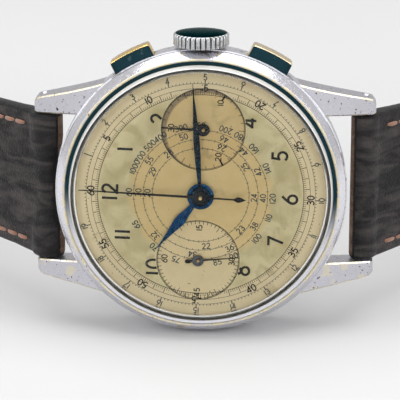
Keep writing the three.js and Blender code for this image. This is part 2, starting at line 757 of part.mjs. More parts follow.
function buildBuckleFrame() {
  const frame = plate(outline([
    [-10.2, -1.2], [-8.6, -1.2], [-8.6, 6.8], [-7.8, 7.6], [7.8, 7.6], [8.6, 6.8], [8.6, -1.2], [10.2, -1.2],
    [10.2, 7.5], [9.0, 9.4], [-9.0, 9.4], [-10.2, 7.5],
  ]), -0.9, 0.9);
  return cut(frame, disc(buckleBarRadius + fit, -12, 12, 12).rotateY(Math.PI / 2));
}

place(watch, 'buckle_frame', onShortStrap(buildBuckleFrame(), buckleBarAt), satinSteel);

const tongue = cut(
  join(
    disc(1.25, -1.0, 1.0, 16).rotateY(Math.PI / 2),
    new THREE.BoxGeometry(1.3, 8.6, 0.8).translate(0, 4.9, 1.35),
  ),
  disc(buckleBarRadius + fit, -3, 3, 12).rotateY(Math.PI / 2),
);
place(watch, 'buckle_tongue', onShortStrap(tongue, buckleBarAt), satinSteel);

function buildKeeper(distance, length) {
  const share = distance / shortStrapLength;
  const half = (strapWidth + (strapBuckleWidth - strapWidth) * share) / 2 + 0.25;
  const outer = new THREE.BoxGeometry(2 * half + 1.6, length, 5.6);
  const inner = new THREE.BoxGeometry(2 * half, length + 2, 4.2);
  return onShortStrap(cut(outer, inner), distance, 0.9);
}

place(watch, 'fixed_keeper', buildKeeper(59, 4), leather);
place(watch, 'sliding_keeper', buildKeeper(44, 5), leather);

// ---------------------------------------------------------------- standing on the table

const standing = new THREE.Matrix4().makeBasis(
  new THREE.Vector3(0, Math.sin(lean), Math.cos(lean)),
  new THREE.Vector3(-1, 0, 0),
  new THREE.Vector3(0, -Math.cos(lean), Math.sin(lean)),
);
watch.applyMatrix4(standing);

const group = new THREE.Group();
group.add(watch);
group.updateMatrixWorld(true);
const bounds = new THREE.Box3().setFromObject(group, true);
const centre = bounds.getCenter(new THREE.Vector3());
group.position.set(-centre.x, -centre.y, -bounds.min.z);

export default group;
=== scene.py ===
"""A two-register chronograph wristwatch with an open leather strap, standing on the side of its case."""

import json
import math

import bmesh
import bpy
from mathutils import Matrix, Vector


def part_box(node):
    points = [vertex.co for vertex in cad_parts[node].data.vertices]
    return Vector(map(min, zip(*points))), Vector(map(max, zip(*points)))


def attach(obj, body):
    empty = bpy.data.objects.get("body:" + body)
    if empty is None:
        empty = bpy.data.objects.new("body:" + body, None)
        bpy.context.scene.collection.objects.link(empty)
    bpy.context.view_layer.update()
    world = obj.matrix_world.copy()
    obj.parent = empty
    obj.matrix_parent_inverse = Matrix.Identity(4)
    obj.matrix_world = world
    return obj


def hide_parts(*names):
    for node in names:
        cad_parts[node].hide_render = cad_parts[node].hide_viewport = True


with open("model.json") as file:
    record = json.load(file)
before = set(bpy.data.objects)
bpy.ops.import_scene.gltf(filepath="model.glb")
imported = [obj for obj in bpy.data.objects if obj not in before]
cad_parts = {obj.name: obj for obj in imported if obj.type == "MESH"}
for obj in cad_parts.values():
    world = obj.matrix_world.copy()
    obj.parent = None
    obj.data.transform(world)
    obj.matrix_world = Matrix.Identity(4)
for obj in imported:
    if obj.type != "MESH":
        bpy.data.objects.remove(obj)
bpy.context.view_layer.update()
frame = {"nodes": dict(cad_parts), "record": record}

# ------------------------------------------------------------------ driving dimensions
# All in mm, in the watch's own frame.
# +X points to the crown (3 o'clock), +Y to 12 o'clock and +Z out of the dial; Z = 0 is the dial's top face.

MM = 0.001
LEAN = math.radians(7.0)
MOVEMENT_TURN = math.radians(-2.25)
STEM_HEIGHT = -3.15
PUSHER_ANGLE = math.radians(27)
LUG_INNER = 9.5
BAR_REACH = {1: 19.5, -1: 20.4}      # spring bars at 12 and at 6 o'clock
BAR_HEIGHT = -5.4
LUG_TIP_BEYOND_BAR = 1.25
SUBDIAL_OFFSET = 8.4
SUBDIAL_RADIUS = 5.15
SUBDIAL_DEPTH = 0.1
INK_LIFT = 0.012
STRAP_WIDTH = 18.8
STRAP_BUCKLE_WIDTH = 16.0
STRAP_THICKNESS = 3.6
STRAP_END_THICKNESS = 2.2
STRAP_EYE_RADIUS = 1.35
STRAP_ROLL_RADIUS = {1: 2.1, -1: 1.75}      # the rolled end beside the bar, at 12 and at 6 o'clock
CROWN_FOOT = 18.25
PUSHER_INNER = 16.96
PUSHER_OUTER = 19.7
PUSHER_HALF_WIDTH = 2.65
PUSHER_HALF_HEIGHT = 1.2
STRAP_SPLAY = math.radians(45)
STRAP_SPLAY_END = math.radians(30)
SHORT_STRAP = 70.0
LONG_STRAP = 105.0

TO_CROWN = Vector((0, math.sin(LEAN), math.cos(LEAN)))
TO_TWELVE = Vector((-1, 0, 0))
OUTWARD = Vector((0, -math.cos(LEAN), math.sin(LEAN)))
dial_low, dial_high = (Vector(corner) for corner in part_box("dial"))
DIAL_CENTRE = (dial_low + dial_high) / 2 + OUTWARD * 0.2 * MM
TURNED = Matrix((TO_CROWN, TO_TWELVE, OUTWARD)).transposed().to_4x4()
WATCH = Matrix.Translation(DIAL_CENTRE) @ TURNED @ Matrix.Scale(MM, 4)
MOVEMENT = WATCH @ Matrix.Rotation(MOVEMENT_TURN, 4, "Z")


def at(x, y):
    return Matrix.Translation((x, y, 0))


def dial_direction(angle):
    """The direction of a dial angle in degrees, clockwise from 12 o'clock."""
    return Vector((math.sin(math.radians(angle)), math.cos(math.radians(angle))))


# ------------------------------------------------------------------ materials


class Look:
    """A node material whose patterns are drawn in the watch's frame, in mm."""

    def __init__(self, name, metallic=0.0, roughness=0.5, **fixed):
        self.material = bpy.data.materials.new(name)
        self.material.use_nodes = True
        self.nodes = self.material.node_tree.nodes
        self.links = self.material.node_tree.links
        self.shader = self.nodes["Principled BSDF"]
        self.shader.inputs["Metallic"].default_value = metallic
        self.shader.inputs["Roughness"].default_value = roughness
        for socket, value in fixed.items():
            self.shader.inputs[socket.replace("_", " ")].default_value = value
        coordinates = self.nodes.new("ShaderNodeTexCoord")
        mapping = self.nodes.new("ShaderNodeMapping")
        mapping.vector_type = "TEXTURE"
        mapping.inputs["Location"].default_value = DIAL_CENTRE
        mapping.inputs["Rotation"].default_value = MOVEMENT.to_euler()
        mapping.inputs["Scale"].default_value = (MM, MM, MM)
        self.links.new(coordinates.outputs["Object"], mapping.inputs["Vector"])
        self.place = mapping.outputs["Vector"]

    def noise(self, scale, detail=4.0, distortion=0.0, stretch=None):
        node = self.nodes.new("ShaderNodeTexNoise")
        node.inputs["Scale"].default_value = scale
        node.inputs["Detail"].default_value = detail
        node.inputs["Distortion"].default_value = distortion
        source = self.place
        if stretch:
            scaled = self.nodes.new("ShaderNodeMapping")
            scaled.inputs["Scale"].default_value = stretch
            self.links.new(self.place, scaled.inputs["Vector"])
            source = scaled.outputs["Vector"]
        self.links.new(source, node.inputs["Vector"])
        return node.outputs["Fac"]

    def cells(self, scale, output="Distance"):
        node = self.nodes.new("ShaderNodeTexVoronoi")
        node.inputs["Scale"].default_value = scale
        self.links.new(self.place, node.inputs["Vector"])
        return node.outputs[output]

    def math(self, operation, first, second):
        node = self.nodes.new("ShaderNodeMath")
        node.operation = operation
        for socket, value in zip(node.inputs, (first, second)):
            if isinstance(value, (int, float)):
                socket.default_value = value
            else:
                self.links.new(value, socket)
        return node.outputs["Value"]

    def span(self, value, low, high, out_low=0.0, out_high=1.0):
        node = self.nodes.new("ShaderNodeMapRange")
        node.interpolation_type = "SMOOTHSTEP"
        for socket, number in (
            ("From Min", low), ("From Max", high), ("To Min", out_low), ("To Max", out_high),
        ):
            node.inputs[socket].default_value = number
        self.links.new(value, node.inputs["Value"])
        return node.outputs["Result"]

    def mix(self, amount, first, second):
        node = self.nodes.new("ShaderNodeMix")
        node.data_type = "RGBA"
        self.links.new(amount, node.inputs["Factor"])
        for socket, value in ((node.inputs["A"], first), (node.inputs["B"], second)):
            if isinstance(value, tuple):
                socket.default_value = (*value, 1.0)
            else:
                self.links.new(value, socket)
        return node.outputs["Result"]

    def radius(self, x=0.0, y=0.0):
        """Distance from a point of the dial, in mm."""
        split = self.nodes.new("ShaderNodeSeparateXYZ")
        self.links.new(self.place, split.inputs["Vector"])
        dx = self.math("SUBTRACT", split.outputs["X"], x)
        dy = self.math("SUBTRACT", split.outputs["Y"], y)
        squares = self.math("ADD", self.math("MULTIPLY", dx, dx), self.math("MULTIPLY", dy, dy))
        return self.math("SQRT", squares, 0.0)

    def bump(self, height, distance, strength=1.0):
        node = self.nodes.new("ShaderNodeBump")
        node.inputs["Strength"].default_value = strength
        node.inputs["Distance"].default_value = distance * MM
        self.links.new(height, node.inputs["Height"])
        self.links.new(node.outputs["Normal"], self.shader.inputs["Normal"])

    def colour(self, socket):
        self.links.new(socket, self.shader.inputs["Base Color"])
        return self.material

    def roughness(self, value, low, high):
        self.links.new(self.span(value, 0.3, 0.7, low, high), self.shader.inputs["Roughness"])


def metal(name, base, worn, roughness=0.25, wear=0.62, wear_scale=0.5, pits=0.0, grain=0.02, metallic=1.0):
    """Plated or bare metal: a base colour, patches of wear, dark pits, and fine unevenness."""
    look = Look(name, metallic, roughness)
    patches = look.span(look.noise(wear_scale, 6.0), wear, wear + 0.06)
    colour = look.mix(patches, base, worn)
    if pits:
        spots = look.span(look.noise(2.6, 2.0), pits, pits + 0.03)
        colour = look.mix(spots, colour, (0.045, 0.045, 0.04))
    look.roughness(look.noise(3.0), roughness * 0.75, roughness * 1.4)
    look.bump(look.noise(6.0, 3.0), grain)
    return look.colour(colour)


plated = metal("plated", (0.80, 0.79, 0.84), (0.62, 0.55, 0.42), 0.2, 0.64, 0.35, 0.73)
lug_steel = metal("lug_steel", (0.54, 0.53, 0.57), (0.62, 0.58, 0.48), 0.34, 0.60, 0.6, 0.665)
worn_edge = metal("worn_edge", (0.78, 0.70, 0.50), (0.66, 0.64, 0.64), 0.35, 0.52, 1.2, 0.70)
band_steel = metal("band_steel", (0.70, 0.70, 0.74), (0.36, 0.35, 0.36), 0.33, 0.60, 0.5, 0.72)
dark_teal = metal("dark_teal", (0.012, 0.035, 0.045), (0.04, 0.07, 0.08), 0.30, 0.62, 1.2, 0.0, 0.01)
crown_face = metal("crown_face", (0.012, 0.030, 0.036), (0.020, 0.040, 0.046), 0.2, 0.62, 0.4, 0.0, 0.005)
crown_shader = crown_face.node_tree.nodes["Principled BSDF"]
crown_shader.inputs["Specular Tint"].default_value = (0.34, 0.42, 0.42, 1.0)
crown_rib = metal("crown_rib", (0.50, 0.51, 0.52), (0.30, 0.29, 0.27), 0.3, 0.56, 0.8)
crown_groove = metal("crown_groove", (0.12, 0.125, 0.13), (0.14, 0.13, 0.11), 0.5, 0.55, 1.5)
gilt = metal("gilt", (0.80, 0.56, 0.20), (0.72, 0.62, 0.45), 0.25, 0.6, 0.8)
pale_gilt = metal("pale_gilt", (0.76, 0.64, 0.42), (0.66, 0.60, 0.50), 0.3, 0.58, 0.8)
satin_steel = metal("satin_steel", (0.56, 0.56, 0.59), (0.42, 0.41, 0.40), 0.34, 0.6, 0.5, 0.74)
brass = metal("brass", (0.72, 0.54, 0.26), (0.60, 0.48, 0.28), 0.35)
cap_brass = metal("cap_brass", (0.42, 0.31, 0.15), (0.34, 0.26, 0.14), 0.4)
nickel = metal("nickel", (0.62, 0.60, 0.55), (0.50, 0.48, 0.42), 0.35)
blued = metal("blued", (0.004, 0.035, 0.10), (0.008, 0.06, 0.15), 0.22, 0.5, 0.8, 0.0, 0.004, 0.85)
navy = metal("navy", (0.004, 0.010, 0.018), (0.008, 0.03, 0.05), 0.28, 0.5, 0.8, 0.0, 0.004, 0.7)
black_steel = metal("black_steel", (0.010, 0.010, 0.012), (0.03, 0.028, 0.024), 0.35, 0.6, 1.2, 0.0, 0.004, 0.5)
grey_steel = metal("grey_steel", (0.10, 0.105, 0.12), (0.07, 0.06, 0.05), 0.35, 0.55, 1.5)
tension_ring = metal("tension_ring", (0.86, 0.86, 0.87), (0.74, 0.73, 0.70), 0.18, 0.6, 0.5)


def ink(name, colour, faded):
    look = Look(name, 0.0, 0.55)
    return look.colour(look.mix(look.span(look.noise(1.6, 5.0), 0.5, 0.75), colour, faded))


black_ink = ink("black_ink", (0.012, 0.011, 0.011), (0.05, 0.045, 0.035))
blue_ink = ink("blue_ink", (0.020, 0.048, 0.070), (0.06, 0.09, 0.10))
grey_ink = ink("grey_ink", (0.075, 0.082, 0.080), (0.20, 0.19, 0.15))


def make_dial_look():
    """Aged paint: golden in the middle and outside, tarnished silver under the hour numerals, with stains, and painted
    shade in a crescent inside the 3 o'clock sub-dial's rim.
    """
    look = Look("aged_dial", 0.12, 0.48)
    wander = look.math("MULTIPLY", look.math("SUBTRACT", look.noise(0.35, 5.0), 0.5), 2.4)
    radius = look.math("ADD", look.radius(), wander)
    cloudy = look.noise(0.45, 6.0)
    gold = look.mix(cloudy, (0.72, 0.53, 0.23), (0.84, 0.67, 0.36))
    silver = look.mix(look.span(look.noise(0.3, 7.0, 0.6), 0.35, 0.65), (0.58, 0.50, 0.27), (0.76, 0.68, 0.42))
    cream = look.mix(look.noise(0.25, 6.0), (0.72, 0.59, 0.36), (0.80, 0.70, 0.48))
    colour = look.mix(look.span(radius, 8.2, 9.2), gold, silver)
    colour = look.mix(look.span(radius, 12.2, 13.2), colour, cream)
    for x, tone in ((SUBDIAL_OFFSET, (0.74, 0.54, 0.24)), (-SUBDIAL_OFFSET, (0.86, 0.72, 0.45))):
        inside = look.span(look.radius(x), SUBDIAL_RADIUS - 0.1, SUBDIAL_RADIUS, 0.75, 0.0)
        colour = look.mix(inside, colour, tone)
    # Painted shade: a dark crescent inside the 3 o'clock sub-dial's rim, standing for the shadow of its sunk wall.
    shifted = look.radius(SUBDIAL_OFFSET - 0.32, -0.32)
    painted_recess_shade = look.math(
        "MULTIPLY",
        look.span(shifted, SUBDIAL_RADIUS - 0.42, SUBDIAL_RADIUS - 0.1),
        look.span(look.radius(SUBDIAL_OFFSET), SUBDIAL_RADIUS - 0.02, SUBDIAL_RADIUS, 0.72, 0.0),
    )
    colour = look.mix(painted_recess_shade, colour, (0.17, 0.13, 0.09))
    stain = look.span(look.noise(0.28, 8.0, 0.4), 0.60, 0.72, 0.0, 0.45)
    colour = look.mix(stain, colour, (0.36, 0.27, 0.12))
    specks = look.span(look.noise(2.2, 2.0), 0.725, 0.755, 0.0, 0.8)
    colour = look.mix(specks, colour, (0.20, 0.10, 0.03))
    look.roughness(look.noise(1.4, 6.0), 0.42, 0.62)
    look.bump(look.noise(9.0, 3.0), 0.006)
    return look.colour(colour)


def make_leather_look(name, base, high, scale=1.0):
    look = Look(name, 0.0, 0.5, Specular_IOR_Level=0.22, Sheen_Weight=0.05, Sheen_Roughness=0.5)
    creases_and_sheen = look.noise(0.55 * scale, 8.0, 1.2, (1.0, 0.35, 0.35))
    # On the strap's face the lighter streaks are creases and painted sheen.
    colour = look.mix(look.span(creases_and_sheen, 0.35, 0.72), base, high)
    grain = look.math("ADD", look.span(look.cells(2.6 * scale), 0.0, 0.7, 0.0, 0.6), creases_and_sheen)
    look.roughness(look.noise(0.9 * scale, 6.0), 0.42, 0.62)
    look.bump(grain, 0.11, 0.8)
    return look.colour(colour)


def make_thread_look():
    look = Look("thread", 0.0, 0.75, Sheen_Weight=0.4)
    twist = look.noise(7.0, 2.0, 0.0, (1.0, 3.0, 3.0))
    look.bump(twist, 0.05)
    return look.colour(look.mix(twist, (0.12, 0.050, 0.028), (0.36, 0.17, 0.10)))


def make_acrylic_look():
    """Clear old acrylic: light passes straight through it, and it shines at grazing angles."""
    look = Look("acrylic", 0.0, 0.08, IOR=1.49)
    scratches = look.span(look.noise(0.8, 9.0, 0.5, (1.0, 6.0, 1.0)), 0.62, 0.70)
    look.links.new(look.span(scratches, 0.0, 1.0, 0.03, 0.16), look.shader.inputs["Alpha"])
    rim = look.nodes.new("ShaderNodeLayerWeight")
    rim.inputs["Blend"].default_value = 0.32
    clear = look.nodes.new("ShaderNodeBsdfTransparent")
    clear.inputs["Color"].default_value = (0.97, 0.97, 0.955, 1.0)
    gloss = look.nodes.new("ShaderNodeBsdfGlossy")
    gloss.inputs["Roughness"].default_value = 0.06
    gloss.inputs["Color"].default_value = (1.0, 1.0, 1.0, 1.0)
    blend = look.nodes.new("ShaderNodeMixShader")
    amount = look.span(rim.outputs["Fresnel"], 0.0, 1.0, 0.0, 0.85)
    haze = look.math("ADD", amount, look.math("MULTIPLY", scratches, 0.03))
    look.links.new(haze, blend.inputs["Fac"])
    look.links.new(clear.outputs["BSDF"], blend.inputs[1])
    look.links.new(gloss.outputs["BSDF"], blend.inputs[2])
    look.links.new(blend.outputs["Shader"], look.nodes["Material Output"].inputs["Surface"])
    return look.material


def make_wall_look():
    """The crystal's side wall, seen edge on: grey and white rings of refracted light."""
    look = Look("acrylic_wall", 0.05, 0.2)
    radius = look.math("ADD", look.radius(), look.math("MULTIPLY", look.noise(1.0, 6.0), 0.10))
    colour = look.mix(look.span(radius, 15.72, 15.80), (0.84, 0.84, 0.82), (0.60, 0.60, 0.61))
    colour = look.mix(look.span(radius, 15.90, 16.05), colour, (0.74, 0.74, 0.73))
    colour = look.mix(look.span(radius, 16.18, 16.26), colour, (0.56, 0.56, 0.55))
    colour = look.mix(look.span(radius, 16.34, 16.40), colour, (0.78, 0.76, 0.70))
    return look.colour(colour)


def make_groove_look():
    """The bezel's groove: a painted dark reflection towards the crown, fading to a painted pale reflection towards 9
    o'clock.
    """
    look = Look("bezel_groove", 1.0, 0.26)
    # Painted reflection: dark teal towards the crown, pale grey towards 9 o'clock.
    painted_reflection_mask = look.span(look.radius(30), 34, 40)
    look.bump(look.noise(6.0, 3.0), 0.01)
    return look.colour(look.mix(painted_reflection_mask, (0.012, 0.035, 0.045), (0.62, 0.62, 0.66)))


aged_dial = make_dial_look()
groove_metal = make_groove_look()
leather = make_leather_look("leather", (0.005, 0.004, 0.004), (0.045, 0.038, 0.037))
leather_edge = make_leather_look("leather_edge", (0.004, 0.003, 0.003), (0.012, 0.010, 0.010), 1.6)
lining = make_leather_look("lining", (0.10, 0.055, 0.030), (0.20, 0.12, 0.07), 1.3)
thread = make_thread_look()
acrylic = make_acrylic_look()
acrylic_wall = make_wall_look()

# ------------------------------------------------------------------ mesh helpers


def link(name, mesh):
    obj = bpy.data.objects.new(name, mesh)
    bpy.context.collection.objects.link(obj)
    return obj


def build(name, points, faces, materials, place=WATCH, which=None, sharp=35):
    """A closed mesh in the row frame. which gives each face's material number."""
    mesh = bpy.data.meshes.new(name)
    mesh.from_pydata([place @ Vector(point) for point in points], [], faces)
    for material in materials:
        mesh.materials.append(material)
    for polygon, number in zip(mesh.polygons, which or ()):
        polygon.material_index = number
    edit = bmesh.new()
    edit.from_mesh(mesh)
    bmesh.ops.remove_doubles(edit, verts=edit.verts, dist=1e-7)
    bmesh.ops.recalc_face_normals(edit, faces=edit.faces)
    edit.to_mesh(mesh)
    edit.free()
    mesh.shade_smooth()
    mesh.set_sharp_from_angle(angle=math.radians(sharp))
    return link(name, mesh)


def settle(obj, body, slot, *nodes):
    """The piece rides on its body and stands for its CAD nodes. slot is not used."""
    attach(obj, body)
    if nodes:
        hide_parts(*nodes)
    return obj


def carve(obj, *cutters):
    """Cuts the cutters out of obj for good."""
    for cutter in cutters:
        modifier = obj.modifiers.new("cut", "BOOLEAN")
        modifier.operation = "DIFFERENCE"
        modifier.solver = "EXACT"
        modifier.object = cutter
    bpy.context.view_layer.update()
    result = obj.evaluated_get(bpy.context.evaluated_depsgraph_get())
    mesh = bpy.data.meshes.new_from_object(result)
    obj.modifiers.clear()
    obj.data = mesh
    for cutter in cutters:
        bpy.data.objects.remove(cutter)
    return obj


def skin(sections, closed=True, capped=True):
    """Faces between rows of points of equal length. Returns points and faces."""
    width = len(sections[0])
    points = [point for section in sections for point in section]
    faces = []
    last = width if closed else width - 1
    for row in range(len(sections) - 1):
        for i in range(last):
            j = (i + 1) % width
            faces.append((row * width + i, row * width + j, (row + 1) * width + j, (row + 1) * width + i))
    if capped:
        faces.append(tuple(range(width)))
        faces.append(tuple((len(sections) - 1) * width + i for i in reversed(range(width))))
    return points, faces


def turned(profile, segments=160):
    """A closed profile of (radius, height) turned about Z."""
    sections = []
    for i in range(segments):
        angle = 2 * math.pi * i / segments
        sections.append([(r * math.cos(angle), r * math.sin(angle), z) for r, z in profile])
    sections.append(sections[0])
    return skin(sections, closed=True, capped=False)


def rounded(profile, radius, steps=3):
    """The closed profile with each corner cut by a small arc."""
    out = []
    count = len(profile)
    for i, corner in enumerate(profile):
        here = Vector(corner)
        before = Vector(profile[i - 1]) - here
        after = Vector(profile[(i + 1) % count]) - here
        if here.x == 0:
            out.append(corner)
            continue
        reach = min(radius, before.length / 2.2, after.length / 2.2)
        first = here + before.normalized() * reach
        second = here + after.normalized() * reach
        for k in range(steps + 1):
            t = k / steps
            out.append(tuple(first * (1 - t) ** 2 + here * 2 * t * (1 - t) + second * t * t))
    return out


def on_stem(points):
    """Points drawn about Z, carried to the winding stem's axis along +X."""
    return [(z, y, STEM_HEIGHT - x) for x, y, z in points]


def cylinder(name, radius, bottom, top, place=WATCH, sides=48):
    points, faces = turned([(0, bottom), (radius, bottom), (radius, top), (0, top)], sides)
    return build(name, points, faces, [satin_steel], place)


def block(name, low, high, place=WATCH):
    corners = [(x, y, z) for x in (low[0], high[0]) for y in (low[1], high[1]) for z in (low[2], high[2])]
    faces = [(0, 1, 3, 2), (4, 6, 7, 5), (0, 4, 5, 1), (2, 3, 7, 6), (0, 2, 6, 4), (1, 5, 7, 3)]
    return build(name, corners, faces, [satin_steel], place)


# ------------------------------------------------------------------ case


def make_band():
    profile = rounded([
        (16.25, -1.62), (18.15, -1.62), (18.15, -4.75), (17.9, -5.15), (17.05, -6.05), (16.25, -6.05),
    ], 0.12)
    points, faces = turned(profile, 192)
    band = build("case_band", points, faces, [band_steel])
    cutters = []
    for side in (1, -1):
        place = WATCH @ Matrix.Rotation(side * PUSHER_ANGLE, 4, "Z")
        cutters.append(block("pocket", (14, -2.73, STEM_HEIGHT - 1.28), (21, 2.73, STEM_HEIGHT + 1.28), place))
    tube_points, tube_faces = turned([(0, 14), (1.18, 14), (1.18, 21), (0, 21)], 32)
    cutters.append(build("tube_hole", on_stem(tube_points), tube_faces, [band_steel]))
    carve(band, *cutters)
    settle(band, "case", "satin_steel", "midcase")


def lug_outer(y, tip):
    """The lug's outer edge, a hollow curve that ends in a rounded tip."""
    along = max(y - 11.8, 0) / (tip - 11.8)
    edge = 13.7 - 2.3 * along ** 0.85
    left = tip - y
    return edge if left > 0.6 else edge - 0.45 * (1 - left / 0.6) ** 2


def make_lug(side12, side3):
    tip = BAR_REACH[side12] + LUG_TIP_BEYOND_BAR
    rows = 26
    edge = 0.17
    sections = []
    for i in range(rows + 1):
        y = 11.4 + (tip - 11.4) * i / rows
        inner, outer = LUG_INNER, lug_outer(y, tip)
        along = (y - 11.4) / (tip - 11.4)
        top = -2.2 - 0.55 * along - 0.95 * along ** 2.2
        bottom = -5.8 - along
        left = tip - y
        if left < 0.5:
            soft = 0.3 * (1 - left / 0.5) ** 2
            inner, top, bottom = inner + soft * 0.5, top - soft, bottom + soft
        section = [
            (inner, top - edge), (inner + edge, top), (outer - edge, top), (outer, top - edge),
            (outer, bottom + edge), (outer - edge, bottom), (inner + edge, bottom), (inner, bottom + edge),
        ]
        sections.append([(x * side3, y * side12, z) for x, z in section])
    points, faces = skin(sections)
    which = [1 if i % 8 in (0, 2, 4, 6) else 0 for i in range(rows * 8)] + [0, 1]
    name = f"lug_{12 if side12 > 0 else 6}_{'crown' if side3 > 0 else 'far'}_side"
    lug = build(name, points, faces, [lug_steel, worn_edge], WATCH, which, 25)
    hole_points, hole_faces = turned([(0, 9), (0.42, 9), (0.42, 15), (0, 15)], 24)
    across = [(z * side3, BAR_REACH[side12] * side12 + y, BAR_HEIGHT + x) for x, y, z in hole_points]
    carve(lug, build("drill", across, hole_faces, [crown_groove]))
    bore = cylinder("inside", 16.3, -8, 0, WATCH, 128)
    carve(lug, bore)
    settle(lug, "case", "satin_steel")


def make_bezel():
    profile = [
        (16.0, -1.5), (17.9, -1.5), (17.98, -1.47), (18.0, -1.4), (17.98, -1.3), (17.93, -1.22),
        (17.2, -0.24), (17.13, -0.17), (17.05, -0.15), (16.93, -0.2), (16.85, -0.32), (16.85, -1.05),
        (16.0, -1.05),
    ]
    segments = 224
    points, faces = turned(profile, segments)
    worn_rows = (6, 7, 8, 9)
    which = [1 if i % len(profile) in worn_rows else 0 for i in range(segments * len(profile))]
    bezel = build("bezel_ring", points, faces, [plated, worn_edge], WATCH, which, 28)
    settle(bezel, "case", "chrome_plate", "bezel")
    points, faces = turned([(16.38, -0.44), (16.84, -0.44), (16.84, -0.36), (16.38, -0.40)], segments)
    settle(build("bezel_groove_ring", points, faces, [groove_metal]), "case", "chrome_plate")


def make_crystal():
    outer = [
        (16.74, -0.94), (16.74, -0.47), (16.36, -0.47), (16.36, 0.0), (16.27, 0.35), (16.1, 0.72), (15.8, 1.1),
        (15.3, 1.45), (14.2, 1.68), (12, 1.96), (8, 2.36), (4, 2.61), (0, 2.69),
    ]
    inner = [
        (0, 2.16), (4, 2.08), (8, 1.86), (12, 1.53), (14.5, 1.21), (15.3, 1.07), (15.65, 0.86), (15.85, 0.55),
        (15.85, -0.94),
    ]
    profile = outer + inner
    segments = 192
    points, faces = turned(profile, segments)
    wall = set(range(0, 5)) | {len(profile) - 1}
    which = [1 if i % len(profile) in wall else 0 for i in range(segments * len(profile))]
    crystal = build("crystal_dome", points, faces, [acrylic, acrylic_wall], WATCH, which, 50)
    settle(crystal, "case", "crystal", "crystal")
    flange = rounded([(15.42, 0.03), (15.84, 0.03), (15.84, 0.52), (15.62, 0.52)], 0.05)
    points, faces = turned(flange, segments)
    settle(build("tension_ring", points, faces, [tension_ring]), "case", "chrome_plate")


def make_back():
    profile = rounded([
        (0, -7.6), (12, -7.6), (16.2, -7.15), (17.0, -6.5), (17.0, -6.12), (16.1, -6.12), (16.1, -5.6),
        (15.5, -5.6), (15.5, -6.6), (0, -6.6),
    ], 0.18)
    points, faces = turned(profile, 160)
    settle(build("back_cover", points, faces, [satin_steel]), "case", "satin_steel", "case_back")


# ------------------------------------------------------------------ crown and pushers


def make_crown():
    flutes = 32
    around = flutes * 8
    rows = [
        (0, 0.0, 0), (0, 3.10, 0.3), (0.10, 3.34, 1), (0.23, 3.43, 1), (1.33, 3.43, 1), (1.51, 3.36, 0.9),
        (1.61, 3.18, 0.35), (1.65, 2.95, 0), (1.75, 2.5, 0), (1.83, 1.5, 0), (1.875, 0.0, 0),
    ]
    sections = []
    for rise, radius, depth in rows:
        section = []
        for i in range(around):
            angle = 2 * math.pi * i / around
            groove = (1 - abs(math.sin(flutes / 2 * angle))) ** 1.6
            r = radius - 0.24 * depth * groove
            section.append((CROWN_FOOT + rise, r * math.cos(angle), STEM_HEIGHT + r * math.sin(angle)))
        sections.append(section)
    points, faces = skin(sections, capped=False)
    which = []
    for row in range(len(rows) - 1):
        for i in range(around):
            in_groove = min(i % 8, 7 - i % 8) == 0
            which.append(1 if row >= 6 else 2 if in_groove and 1 <= row <= 4 else 0)
    crown = build("fluted_crown", points, faces, [crown_rib, crown_face, crown_groove], WATCH, which, 50)
    recess_low, recess_high = CROWN_FOOT - 0.3, CROWN_FOOT + 0.48
    recess_profile = [(0, recess_low), (1.2, recess_low), (1.2, recess_high), (0, recess_high)]
    recess_points, recess_faces = turned(recess_profile, 32)
    carve(crown, build("recess", on_stem(recess_points), recess_faces, [crown_rib]))
    settle(crown, "crown", "satin_steel", "crown")


def make_pusher(side, name, node, body, end_material):
    """A slab with a curved, gilded end, a dark front and rounded edges."""
    corner = 0.22
    half_height = PUSHER_HALF_HEIGHT
    sections = []
    stations = [-2.65, -2.6, -2.45, -1.8, -0.9, 0, 0.9, 1.8, 2.45, 2.6, 2.65]
    for y in stations:
        pinch = corner * (1 - math.sqrt(max(0, 1 - max(0, (abs(y) - PUSHER_HALF_WIDTH + corner) / corner) ** 2)))
        outer = math.sqrt(PUSHER_OUTER ** 2 - y ** 2) - pinch
        turn_in = outer - corner
        high = half_height - pinch * 0.8
        section = [(PUSHER_INNER, -high), (turn_in, -high)]
        for k in range(1, 5):
            angle = math.radians(-90 + 90 * k / 4)
            section.append((turn_in + corner * math.cos(angle), -high + corner + corner * math.sin(angle)))
        for k in range(0, 5):
            angle = math.radians(90 * k / 4)
            section.append((turn_in + corner * math.cos(angle), high - corner + corner * math.sin(angle)))
        section.append((PUSHER_INNER, high))
        sections.append([(x, y, STEM_HEIGHT + z) for x, z in section])
    points, faces = skin(sections)
    width = len(sections[0])
    which = []
    for _ in range(len(stations) - 1):
        for i in range(width):
            which.append(0 if 1 <= i <= width - 4 else 1 if i in (width - 3, width - 2) else 2)
    which += [0, 0]
    place = WATCH @ Matrix.Rotation(side * PUSHER_ANGLE, 4, "Z")
    slab = build(name, points, faces, [end_material, dark_teal, satin_steel], place, which, 40)
    settle(slab, body, "worn_gilt", node)
    shaft_points, shaft_faces = turned(rounded([(0, 14.36), (0.5, 14.36), (0.5, 17.2), (0, 17.2)], 0.05), 24)
    shaft = build(f"{name}_shaft", on_stem(shaft_points), shaft_faces, [satin_steel], place)
    settle(shaft, body, "worn_gilt")


# ------------------------------------------------------------------ dial and printing


